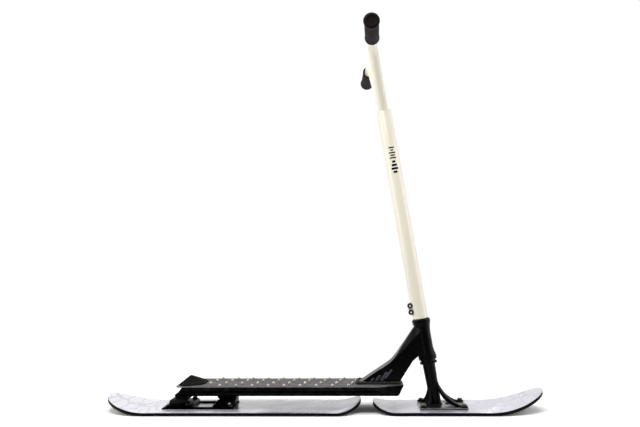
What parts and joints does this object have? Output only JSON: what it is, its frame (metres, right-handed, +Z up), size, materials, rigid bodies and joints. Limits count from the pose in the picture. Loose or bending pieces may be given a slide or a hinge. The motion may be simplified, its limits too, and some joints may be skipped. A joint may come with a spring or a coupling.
{
  "type": "snow scooter",
  "caption": "Stand-on snow scooter: studded metal deck and raked steering head with a T-bar, riding on a steered front board and a pivoting rear board.",
  "frame": {"origin": "on the snow, centre of the footprint of the whole scooter", "axes": "+X forward along the boards, +Y to the rider's left, +Z up"},
  "size_m": [0.9904, 0.5832, 0.8313],
  "materials": {
    "sidewall": "black moulded sidewall over a wood core",
    "topsheet": null,
    "edge_steel": "ground steel edge",
    "black_coat": "satin black powder coat",
    "black_alloy": "satin black anodised alloy",
    "grip_coat": "matt dark grey coat on a steel plate",
    "bright_steel": "turned steel",
    "bare_steel": "plain cut steel plate",
    "black_steel": "black oxide steel",
    "ivory_paint": "gloss ivory powder coat",
    "grey_cast": "cast grey",
    "black_rubber": "matt black rubber",
    "grip_rubber": "matt brown-black ribbed rubber"
  },
  "bodies": {
    "deck": {"deck_body": "black_alloy", "deck_plate": "grip_coat", "stud_row_1": "bright_steel", "stud_row_2": "bright_steel", "stud_row_3": "bright_steel", "stud_row_4": "bright_steel", "tail_wedge": "black_rubber", "head_tube": "black_coat", "lower_bearing": "bright_steel", "upper_bearing": "bright_steel", "neck": "black_coat", "rear_hanger": "black_alloy", "hanger_bolt_1": "black_steel", "hanger_bolt_2": "black_steel", "hanger_bolt_3": "black_steel", "hanger_bolt_4": "black_steel", "pivot_bush_right": "bright_steel", "pivot_bush_left": "bright_steel", "rubber_block": "black_rubber"},
    "steering": {"crown_race": "bright_steel", "headset_cover": "black_steel", "fork_post": "black_coat", "steerer_tube": "bright_steel", "fork_strut_front_left": "black_coat", "fork_strut_front_right": "black_coat", "fork_strut_rear_left": "black_coat", "fork_strut_rear_right": "black_coat", "fork_plate": "bare_steel", "fork_bolt_1": "bright_steel", "fork_bolt_2": "bright_steel", "fork_bolt_3": "bright_steel", "fork_bolt_4": "bright_steel", "front_board_core": "sidewall", "front_board_topsheet": "topsheet", "front_board_edge": "edge_steel", "bar_downtube": "ivory_paint", "clamp_bolt_1": "black_steel", "clamp_bolt_2": "black_steel", "bar_shim": "bright_steel", "steerer_plug": "bright_steel", "compression_cap": "bright_steel", "compression_bolt": "black_steel", "bar_leg_left": "ivory_paint", "bar_leg_right": "ivory_paint", "grip_left": "grip_rubber", "grip_right": "grip_rubber", "bar_end_left": "grip_rubber", "bar_end_right": "grip_rubber"},
    "rear_ski": {"rear_board_core": "sidewall", "rear_board_topsheet": "topsheet", "rear_board_edge": "edge_steel", "truck_base": "black_alloy", "truck_rear_bolt_1": "bright_steel", "truck_rear_bolt_2": "bright_steel", "truck_front_bolt_1": "bright_steel", "truck_front_bolt_2": "bright_steel", "block_seat": "grey_cast", "pivot_bolt": "bright_steel", "pivot_nut": "bright_steel"}
  },
  "joints": [
    {"name": "steering", "type": "hinge", "parent": "deck", "child": "steering", "pos_m": [0.25785, 0, 0], "axis": [-0.1616, 0, 0.9869], "continuous": true},
    {"name": "rear_ski_pivot", "type": "hinge", "parent": "deck", "child": "rear_ski", "pos_m": [-0.21015, 0, 0.0205], "axis": [0, 1, 0], "range_deg": [-2.5, 1.7], "stiffness_Nm_per_rad": 40, "deforming": ["rubber_block"]}
  ]
}
